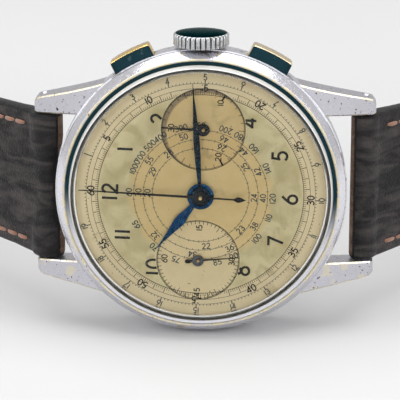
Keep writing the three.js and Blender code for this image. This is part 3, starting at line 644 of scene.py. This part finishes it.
def make_dial():
    points, faces = turned([(0.36, -0.4), (15.69, -0.4), (15.69, 0), (0.36, 0)], 192)
    dial = build("aged_dial", points, faces, [aged_dial], MOVEMENT)
    cutters = []
    for x in (SUBDIAL_OFFSET, -SUBDIAL_OFFSET):
        profile = [
            (0, -SUBDIAL_DEPTH), (SUBDIAL_RADIUS - 0.08, -SUBDIAL_DEPTH), (SUBDIAL_RADIUS, 0), (SUBDIAL_RADIUS, 1),
            (0, 1),
        ]
        cutter_points, cutter_faces = turned(profile, 128)
        cutters.append(build("sink", cutter_points, cutter_faces, [aged_dial], MOVEMENT @ at(x, 0)))
        cutters.append(cylinder("arbor_hole", 0.35, -1, 1, MOVEMENT @ at(x, 0), 24))
    cutters.append(cylinder("centre_hole", 1.05, -1, 1, MOVEMENT))
    carve(dial, *cutters)
    dial.data.set_sharp_from_angle(angle=math.radians(20))
    settle(dial, "case", "dial_silver", "dial")


def surface_height(x, y):
    """The dial's height under a point, so that print follows it into the sunk sub-dials."""
    for centre in (SUBDIAL_OFFSET, -SUBDIAL_OFFSET):
        if math.hypot(x - centre, y) < SUBDIAL_RADIUS - 0.05:
            return INK_LIFT - SUBDIAL_DEPTH
    return INK_LIFT


def straightened(path, width):
    """The path cut at corners sharper than 50 degrees, each part reaching half a width past the corner."""
    path = [path[0]] + [b for a, b in zip(path, path[1:]) if (b - a).length > 1e-6]
    parts = [[path[0]]]
    for i in range(1, len(path) - 1):
        before = (path[i] - path[i - 1]).normalized()
        after = (path[i + 1] - path[i]).normalized()
        if before.angle(after) < math.radians(50):
            parts[-1].append(path[i])
        else:
            parts[-1].append(path[i] + before * width / 2)
            parts.append([path[i] - after * width / 2])
    parts[-1].append(path[-1])
    return parts


def outside_subdials(path, step=0.06):
    """The stretches of a path that stay clear of both sub-dials."""
    dense = []
    for first, second in zip(path, path[1:]):
        count = max(1, math.ceil((second - first).length / step))
        dense += [first.lerp(second, i / count) for i in range(count)]
    dense.append(path[-1])
    stretches = [[]]
    for point in dense:
        clear = all(
            math.hypot(point.x - centre, point.y) > SUBDIAL_RADIUS + 0.1
            for centre in (SUBDIAL_OFFSET, -SUBDIAL_OFFSET)
        )
        if clear:
            stretches[-1].append(point)
        elif stretches[-1]:
            stretches.append([])
    return [stretch for stretch in stretches if len(stretch) > 1]


class Print:
    """Thin printed lines, gathered into one mesh."""

    def __init__(self):
        self.points = []
        self.faces = []

    def stroke(self, path, width, around_subdials=False):
        """A line broken at its sharp corners, and where asked left out inside the sub-dials."""
        for part in straightened(path, width):
            for piece in outside_subdials(part) if around_subdials else [part]:
                self.line(piece, width)

    def line(self, path, width, closed=False):
        path = [Vector(point) for point in path]
        count = len(path)
        start = len(self.points)
        for i, point in enumerate(path):
            before = path[i - 1] if closed or i > 0 else point
            after = path[(i + 1) % count] if closed or i < count - 1 else point
            direction = (after - before).normalized()
            side = Vector((-direction.y, direction.x)) * width / 2
            for corner in (point + side, point - side):
                self.points.append((corner.x, corner.y, surface_height(corner.x, corner.y)))
        for i in range(count if closed else count - 1):
            a, b = start + 2 * i, start + 2 * ((i + 1) % count)
            self.faces.append((a, a + 1, b + 1, b))

    def circle(self, x, y, radius, width, start=0, end=360, step=3):
        full = end - start == 360
        steps = round((end - start) / step)
        count = steps if full else steps + 1
        centre = Vector((x, y))
        path = [centre + radius * dial_direction(start + (end - start) * i / steps) for i in range(count)]
        self.line(path, width, full)

    def tick(self, angle, inner, outer, width, x=0.0, y=0.0):
        centre = Vector((x, y))
        direction = dial_direction(angle)
        self.line([centre + direction * inner, centre + direction * outer], width)

    def number(self, text, x, y, height, width, up=Vector((0, 1)), spread=0.18, around_subdials=False):
        """A number whose middle is at (x, y), with its digits' tops towards up."""
        right = Vector((up.y, -up.x))
        sizes = [0.14 if digit == "1" else 0.6 for digit in text]
        total = sum(sizes) + spread * (len(text) - 1)
        pen = -total / 2
        for digit, size in zip(text, sizes):
            shift = 0.07 - 0.3 if digit == "1" else 0.0
            for stroke in DIGITS[digit]:
                path = [
                    Vector((x, y)) + right * (pen + shift + px) * height + up * (py - 0.5) * height
                    for px, py in stroke
                ]
                self.stroke(path, width, around_subdials)
            pen += size + spread

    def round_number(self, text, angle, radius, height, width, x=0.0, y=0.0):
        """A number on a round scale, with its foot towards the centre unless it would be upside down."""
        direction = dial_direction(angle)
        up = -direction if 91 < angle % 360 < 269 else direction
        self.number(text, x + direction.x * radius, y + direction.y * radius, height, width, up)

    def piece(self, name, material):
        settle(build(name, self.points, self.faces, [material], MOVEMENT), "case", "black_steel")


def arc(x, y, rx, ry, start, end, steps=12):
    angles = [math.radians(start + (end - start) * i / steps) for i in range(steps + 1)]
    return [(x + rx * math.cos(a), y + ry * math.sin(a)) for a in angles]


SIX = [arc(0.30, 0.30, 0.28, 0.29, 0, 360, 18), [(0.50, 0.99), (0.27, 0.74), (0.08, 0.48), (0.03, 0.30)]]
DIGITS = {
    "0": [arc(0.30, 0.50, 0.28, 0.48, 0, 360, 20)],
    "1": [[(0.30, 0.0), (0.30, 1.0)]],
    "2": [arc(0.29, 0.72, 0.25, 0.26, 165, -38) + [(0.03, 0.03), (0.60, 0.03)]],
    "3": [arc(0.27, 0.75, 0.23, 0.23, 150, -90) + arc(0.27, 0.27, 0.29, 0.25, 90, -150)],
    "4": [[(0.60, 0.26), (0.02, 0.26), (0.44, 0.96), (0.44, 0.0)]],
    "5": [[(0.53, 0.97), (0.14, 0.97), (0.09, 0.56)] + arc(0.27, 0.31, 0.29, 0.29, 128, -145)],
    "6": SIX,
    "7": [[(0.02, 0.96), (0.57, 0.96), (0.20, 0.0)]],
    "8": [arc(0.30, 0.75, 0.21, 0.22, 0, 360, 16), arc(0.30, 0.26, 0.27, 0.25, 0, 360, 18)],
    "9": [[(0.6 - px, 1 - py) for px, py in stroke] for stroke in SIX],
}


def print_dial():
    black, blue, grey = Print(), Print(), Print()
    # hour numerals; the sub-dials leave only part of 2, 4, 8 and 10
    for hour in (12, 1, 2, 4, 5, 6, 7, 8, 10, 11):
        direction = dial_direction(30 * hour) * (11.25 if hour == 12 else 11.0)
        black.number(str(hour), direction.x, direction.y, 1.9, 0.32, spread=0.28, around_subdials=True)
    # seconds ring
    black.circle(0, 0, 12.75, 0.07)
    black.circle(0, 0, 13.55, 0.05)
    for i in range(300):
        black.tick(1.2 * i, 12.75, 13.5 if i % 5 == 0 else 13.1, 0.075 if i % 5 == 0 else 0.055)
    for second in range(5, 65, 5):
        black.round_number(str(second), 6 * second, 13.62, 0.85, 0.16)
    # telemeter ring
    grey.circle(0, 0, 14.18, 0.05)
    for i in range(200):
        grey.tick(1.8 * i, 14.18, 14.7 if i % 10 == 0 else 14.38, 0.13 if i % 10 == 0 else 0.085)
    for kilometre in range(1, 20):
        grey.round_number(str(kilometre), 18 * kilometre, 14.98, 0.7, 0.13)
    # tachymeter spiral, drawn as three circles
    scales = (
        (8.29, (1000, 700, 500, 400, 300, 250, 200, 180, 160, 140, 120, 110, 100, 90, 85, 75, 70, 65, 60)),
        (7.11, (55, 50, 46, 44, 42, 40, 38, 36, 34, 32, 30)),
        (6.0, (29, 28, 26, 25, 24, 23, 22, 20)),
    )
    for radius, values in scales:
        blue.circle(0, 0, radius, 0.055)
        for i in range(60):
            blue.tick(6 * i, radius - 0.16, radius + 0.16 if i % 2 else radius, 0.06)
        for value in values:
            blue.round_number(str(value), 6 * 3600 / value % 360, radius + 0.6, 0.72, 0.12)
    # sub-dials
    for x, numbers, divisions, numeral_radius in (
        (SUBDIAL_OFFSET, {10: 120, 20: 240, 30: 360}, 30, 3.95),
        (-SUBDIAL_OFFSET, {15: 90, 30: 180, 45: 270, 60: 360}, 60, 4.2),
    ):
        black.circle(x, 0, SUBDIAL_RADIUS, 0.07)
        black.circle(x, 0, SUBDIAL_RADIUS - 0.12, 0.045)
        for i in range(divisions):
            major = i % (divisions // 6) == 0
            black.tick(360 / divisions * i, SUBDIAL_RADIUS - (0.85 if major else 0.5), SUBDIAL_RADIUS, 0.06, x)
        for value, angle in numbers.items():
            direction = dial_direction(angle) * numeral_radius
            black.number(str(value), x + direction.x, direction.y, 0.72, 0.13)
            if divisions == 30:
                black.tick(angle, SUBDIAL_RADIUS - 0.8, SUBDIAL_RADIUS, 0.22, x)
    black.piece("dial_print_black", black_ink)
    blue.piece("dial_print_blue", blue_ink)
    grey.piece("dial_print_grey", grey_ink)


# ------------------------------------------------------------------ hands


def hand(name, node, body, material, stations, bottom, ridge, angle, hub, bore, place=MOVEMENT, hub_material=None):
    """A blade of (distance, half width) stations with a ridge along its middle, and a turned hub."""
    sections = []
    for distance, half in stations:
        lift = ridge * min(1.0, half / 0.12)
        sections.append([
            (distance, -half, bottom), (distance, half, bottom), (distance, half, bottom + 0.05),
            (distance, 0, bottom + 0.05 + lift), (distance, -half, bottom + 0.05),
        ])
    points, faces = skin(sections)
    turn = Matrix.Rotation(math.pi / 2 - math.radians(angle), 4, "Z")
    blade = build(name, points, faces, [material], place @ turn, None, 12)
    settle(blade, body, "blued_steel", node)
    top = bottom + 0.12
    profile = rounded([(bore, bottom), (hub, bottom), (hub, top - 0.03), (hub - 0.1, top), (bore, top)], 0.03)
    points, faces = turned(profile, 64)
    ring = build(f"{name}_hub", points, faces, [hub_material or material], place)
    settle(ring, body, "blued_steel")


def make_hands():
    hour = [(0.9, 0.36), (1.6, 0.33), (2.6, 0.44), (3.6, 0.63), (4.2, 0.66), (5.4, 0.45), (7.4, 0.14), (8.9, 0.03)]
    hand("blued_hour_hand", "hour_hand", "hours", blued, hour, 0.46, 0.10, 307, 1.65, 1.0)
    minute = [(0.7, 0.16), (2.2, 0.24), (5.0, 0.37), (7.0, 0.40), (9.5, 0.28), (12.6, 0.09), (14.4, 0.025)]
    hand("blued_minute_hand", "minute_hand", "minutes", navy, minute, 0.76, 0.06, 84, 1.2, 0.7)
    sweep = [
        (-5.6, 0.015), (-4.9, 0.33), (-4.55, 0.35), (-4.1, 0.10), (-2.0, 0.11), (-0.6, 0.14), (0.6, 0.16), (8, 0.12),
        (15.1, 0.05),
    ]
    hand("sweep_hand", "chronograph_hand", "chronograph", black_steel, sweep, 0.97, 0.01, 1.0, 0.75, 0.24)
    seconds = [(-1.65, 0.05), (-1.5, 0.22), (-1.2, 0.26), (-0.9, 0.2), (-0.6, 0.09), (0.4, 0.10), (4.95, 0.045)]
    place = MOVEMENT @ at(-SUBDIAL_OFFSET, 0)
    hand("seconds_hand", "small_seconds_hand", "seconds", black_steel, seconds, 0.2, 0.02, 173, 0.73, 0.24, place,
         grey_steel)
    counter = [(0.2, 0.16), (2.5, 0.11), (4.95, 0.03)]
    place = MOVEMENT @ at(SUBDIAL_OFFSET, 0)
    hand("counter_hand", "minute_counter_hand", "minute_counter", black_steel, counter, 0.2, 0.02, 0, 0.8, 0.24, place)
    cap = rounded([(0.24, 0.2), (0.24, 0.46), (0, 0.46), (0, 0.2)], 0.03)
    caps = ((0, "chronograph", 0.85), (SUBDIAL_OFFSET, "minute_counter", 0), (-SUBDIAL_OFFSET, "seconds", 0))
    for x, body, height in caps:
        profile = [(r * 0.8, z + height) for r, z in cap]
        points, faces = turned(profile, 24)
        name = f"{body}_pinion_cap"
        settle(build(name, points, faces, [cap_brass], MOVEMENT @ at(x, 0)), body, "brass")


# ------------------------------------------------------------------ strap


def strap_point(distance, length):
    """Where the strap's centre line is, from the spring bar, and its direction."""
    steps = 24
    y, z = 0.0, BAR_HEIGHT
    for i in range(steps):
        turn = STRAP_SPLAY + (STRAP_SPLAY_END - STRAP_SPLAY) * (i + 0.5) / steps * distance / length
        y += math.sin(turn) * distance / steps
        z -= math.cos(turn) * distance / steps
    return y, z, STRAP_SPLAY + (STRAP_SPLAY_END - STRAP_SPLAY) * distance / length


def half_thickness(distance, length):
    rise = min(max(distance, 0) / 7, 1)
    fall = min(max((distance - 12) / (0.4 * length), 0), 1)
    near = 2 * STRAP_EYE_RADIUS + (STRAP_THICKNESS - 2 * STRAP_EYE_RADIUS) * rise
    return (near + (STRAP_END_THICKNESS - STRAP_THICKNESS) * fall) / 2


def half_width(distance, length, tip):
    even = (STRAP_WIDTH + (STRAP_BUCKLE_WIDTH - STRAP_WIDTH) * distance / length) / 2
    if tip == 0 or length - distance > tip:
        return even
    into = 1 - (length - distance) / tip
    return even * max(math.sqrt(max(0.0, 1 - into ** 2)), 0.3)


def outer_crown(share, distance):
    """The part of its thickness the strap keeps at a share of its half width: thin at the edges, full at the bar."""
    return 1 - 0.5 * min(max((distance - 1) / 5, 0), 1) * abs(share) ** 3


def roll_radius(across, side):
    """The rolled end is slimmer in the middle, where the spring bar shows."""
    blend = min(max((abs(across) - 3.0) / 2.6, 0), 1) if side > 0 else 1
    return STRAP_EYE_RADIUS + (STRAP_ROLL_RADIUS[side] - STRAP_EYE_RADIUS) * blend


def thickness_at(across, distance, length, side):
    flat = half_thickness(distance, length) if distance >= 0 else 0.0
    roll = math.sqrt(max(roll_radius(across, side) ** 2 - distance ** 2, 0.03))
    return max(flat, roll)


def strap_surface(across, distance, length, share, side):
    """The strap's outer face at a share (-1 to 1) of its half width."""
    y, z, turn = strap_point(distance, length)
    lift = thickness_at(across, distance, length, side) * outer_crown(share, distance)
    return across, y + lift * math.cos(turn), z + lift * math.sin(turn)


def strap_place(side):
    flip = Matrix.Diagonal((1, side, 1, 1))
    return WATCH @ flip @ at(0, BAR_REACH[side])


def make_strap(name, side, length, tip):
    """A padded band: rolled round the bar at one end, crowned outside, lined inside, with round edges."""
    half = [0.3, 0.45, 0.55, 0.65, 0.75, 0.88, 0.95, 0.985, 1]
    shares = [-share for share in reversed(half)] + [0] + half
    noses = 10
    rows = 110
    stations = [("nose", math.radians(90 * k / noses)) for k in range(noses)]
    stations += [("band", distance) for distance in (0, 0.4, 0.8, 1.2, 1.6, 2.0, 2.5)]
    stations += [("band", length * i / rows) for i in range(5, rows + 1)]
    sections = []
    for kind, value in stations:
        outer, inner = [], []
        for share in shares:
            width = half_width(value if kind == "band" else 0, length, tip)
            across = share * width
            distance = value if kind == "band" else -roll_radius(across, side) * math.cos(value)
            if distance >= 0:
                y, z, turn = strap_point(distance, length)
            else:
                y = distance * math.sin(STRAP_SPLAY)
                z = BAR_HEIGHT - distance * math.cos(STRAP_SPLAY)
                turn = STRAP_SPLAY
            thick = thickness_at(across, distance, length, side)
            left = length - distance
            if left < 0.8:
                thick *= 0.55 + 0.45 * math.sqrt(max(0.0, 1 - (1 - left / 0.8) ** 2))
            rim = 1 if abs(share) < 0.96 else 0.86 if abs(share) < 1 else 0.3
            front = thick * rim * outer_crown(share, distance)
            back = thick * rim * (1 - 0.4 * min(max((distance - 1) / 5, 0), 1))
            outer.append((across, y + front * math.cos(turn), z + front * math.sin(turn)))
            inner.append((across, y - back * math.cos(turn), z - back * math.sin(turn)))
        sections.append(outer + inner[::-1])
    points, faces = skin(sections)
    count = len(shares)
    which = []
    for _ in range(len(sections) - 1):
        for i in range(2 * count):
            edge = i in (0, 1, count - 3, count - 2, count - 1, count, count + 1) or i >= 2 * count - 3
            which.append(1 if edge else 2 if i > count else 0)
    which += [1, 1]
    return build(name, points, faces, [leather, leather_edge, lining], strap_place(side), which, 60)


def carve_strap(band, side, holes, length, notch):
    cutters = []
    for distance in holes:
        y, z, turn = strap_point(distance, length)
        place = strap_place(side) @ Matrix.Translation((0, y, z)) @ Matrix.Rotation(turn - math.pi / 2, 4, "X")
        cutters.append(cylinder("hole", 0.9, -4, 4, place, 24))
    if notch:
        y, z, turn = strap_point(length, length)
        place = strap_place(side) @ Matrix.Translation((0, y, z)) @ Matrix.Rotation(turn - math.pi / 2, 4, "X")
        cutters.append(block("notch", (-1.1, -2.5, -3), (1.1, 2.5, 3), place))
    carve(band, *cutters)
    band.data.set_sharp_from_angle(angle=math.radians(60))


def make_stitching(name, side, length, tip, body):
    """Two rows of saddle stitches, each a short loop of thread that dips into the leather at both ends."""
    points, faces = [], []
    first, pitch, stitch, radius = 2.6, 2.2, 1.9, 0.28
    count = int((length - tip - first - 3.5) / pitch)
    around, steps = 8, 8
    for edge in (-1, 1):
        for i in range(count):
            start = first + pitch * i
            start_index = len(points)
            for k in range(steps + 1):
                t = k / steps
                distance = start + stitch * t
                across = edge * (half_width(distance, length, tip) - 1.75)
                share = across / half_width(distance, length, tip)
                x, y, z = strap_surface(across, distance, length, share, side)
                turn = strap_point(distance, length)[2]
                normal = Vector((0, math.cos(turn), math.sin(turn)))
                arch = math.sin(math.pi * t)
                centre = Vector((x, y, z)) + normal * (0.16 * arch ** 0.6 - 0.03)
                thick = radius * (0.45 + 0.55 * arch ** 0.5)
                for j in range(around):
                    angle = 2 * math.pi * j / around
                    offset = Vector((1, 0, 0)) * thick * math.cos(angle) + normal * thick * 0.8 * math.sin(angle)
                    points.append(tuple(centre + offset))
            for k in range(steps):
                for j in range(around):
                    a = start_index + k * around + j
                    b = start_index + k * around + (j + 1) % around
                    faces.append((a, b, b + around, a + around))
            faces.append(tuple(start_index + j for j in range(around)))
            faces.append(tuple(start_index + steps * around + j for j in reversed(range(around))))
    settle(build(name, points, faces, [thread], strap_place(side)), body, "leather")


def make_straps():
    short = make_strap("short_strap_leather", 1, SHORT_STRAP, 0)
    carve_strap(short, 1, (), SHORT_STRAP, True)
    settle(short, "strap_short", "leather", "strap_short")
    long = make_strap("long_strap_leather", -1, LONG_STRAP, 10)
    carve_strap(long, -1, [LONG_STRAP - 24 - 6 * i for i in range(7)], LONG_STRAP, False)
    settle(long, "strap_long", "leather", "strap_long")
    make_stitching("short_strap_stitching", 1, SHORT_STRAP, 3, "strap_short")
    make_stitching("long_strap_stitching", -1, LONG_STRAP, 12, "strap_long")


# ------------------------------------------------------------------ pieces that keep their CAD shape


def dress_cad_nodes():
    by_slot = {
        "satin_steel": satin_steel, "chrome_plate": plated, "worn_gilt": gilt, "brass": brass, "nickel": nickel,
        "blued_steel": blued, "black_steel": black_steel, "dial_silver": aged_dial, "crystal": acrylic,
        "leather": leather,
    }
    for row in frame["record"]["subparts"]:
        node = frame["nodes"][row["node"]]
        node.data.materials.clear()
        node.data.materials.append(by_slot[row["material_slot"]])
    edges = {"buckle_frame": 0.35, "buckle_tongue": 0.2, "fixed_keeper": 0.35, "sliding_keeper": 0.35}
    for name, width in edges.items():
        modifier = frame["nodes"][name].modifiers.new("round_edges", "BEVEL")
        modifier.width = width * MM
        modifier.segments = 3
        modifier.limit_method = "ANGLE"
        modifier.angle_limit = math.radians(40)


# ------------------------------------------------------------------ floor, light and camera


def make_floor():
    mesh = bpy.data.meshes.new("floor")
    half = 3.0
    mesh.from_pydata([(-half, -half, 0), (half, -half, 0), (half, half, 0), (-half, half, 0)], [], [(0, 1, 2, 3)])
    look = Look("floor", 0.0, 0.75)
    mesh.materials.append(look.colour(look.mix(look.noise(0.02, 2.0), (0.57, 0.57, 0.57), (0.59, 0.59, 0.59))))
    link("floor", mesh)


def area_light(name, location, target, size, power, colour=(1, 1, 1)):
    data = bpy.data.lights.new(name, "AREA")
    data.shape = "RECTANGLE"
    data.size, data.size_y = size
    data.energy = power
    data.color = colour
    light = link(name, data)
    light.location = location
    light.rotation_mode = "QUATERNION"
    light.rotation_quaternion = (Vector(target) - Vector(location)).to_track_quat("-Z", "Y")


def make_light():
    world = bpy.data.worlds.new("studio")
    bpy.context.scene.world = world
    world.use_nodes = True
    nodes, links = world.node_tree.nodes, world.node_tree.links
    coordinates = nodes.new("ShaderNodeTexCoord")
    split = nodes.new("ShaderNodeSeparateXYZ")
    ramp = nodes.new("ShaderNodeValToRGB")
    ramp.color_ramp.elements[0].position = 0.28
    ramp.color_ramp.elements[0].color = (0.66, 0.66, 0.69, 1)
    ramp.color_ramp.elements[1].position = 0.62
    ramp.color_ramp.elements[1].color = (1.0, 1.0, 1.0, 1)
    shift = nodes.new("ShaderNodeMath")
    shift.operation = "MULTIPLY_ADD"
    shift.inputs[1].default_value = 0.5
    shift.inputs[2].default_value = 0.5
    links.new(coordinates.outputs["Generated"], split.inputs["Vector"])
    links.new(split.outputs["Y"], shift.inputs[0])
    links.new(shift.outputs["Value"], ramp.inputs["Fac"])
    links.new(ramp.outputs["Color"], nodes["Background"].inputs["Color"])
    nodes["Background"].inputs["Strength"].default_value = 0.60
    target = DIAL_CENTRE
    area_light("top_softbox", (0.0, -0.02, 0.50), target, (0.55, 0.40), 2.3)
    area_light("left_softbox", (-0.42, -0.24, 0.26), target, (0.26, 0.34), 1.2)
    area_light("front_fill", (0.0, -0.50, 0.13), target, (0.50, 0.26), 0.42)
    area_light("right_softbox", (0.42, -0.24, 0.26), target, (0.26, 0.34), 1.1)


def make_camera():
    distance, rise, pan = 0.260, math.radians(15.9), math.radians(1.6)
    right = -TO_TWELVE
    back = right * math.sin(pan) * math.cos(rise) + TO_CROWN * math.sin(rise) + OUTWARD * math.cos(pan) * math.cos(rise)
    across = right * math.cos(pan) - OUTWARD * math.sin(pan)
    up = back.cross(across)
    data = bpy.data.cameras.new("camera")
    data.lens = 189.3
    data.shift_x = -0.0015
    data.shift_y = -0.01125
    data.clip_start = 0.01
    camera = link("camera", data)
    turn = Matrix((across, up, back)).transposed().to_4x4()
    camera.matrix_world = Matrix.Translation(DIAL_CENTRE + back * distance) @ turn
    bpy.context.scene.camera = camera


bpy.context.scene.view_settings.view_transform = "Standard"
dress_cad_nodes()
make_band()
for side_12 in (1, -1):
    for side_3 in (1, -1):
        make_lug(side_12, side_3)
make_bezel()
make_crystal()
make_back()
make_crown()
make_pusher(1, "start_pusher_slab", "start_pusher", "start_pusher", gilt)
make_pusher(-1, "reset_pusher_slab", "reset_pusher", "reset_pusher", pale_gilt)
make_dial()
print_dial()
make_hands()
make_straps()
make_floor()
make_light()
make_camera()
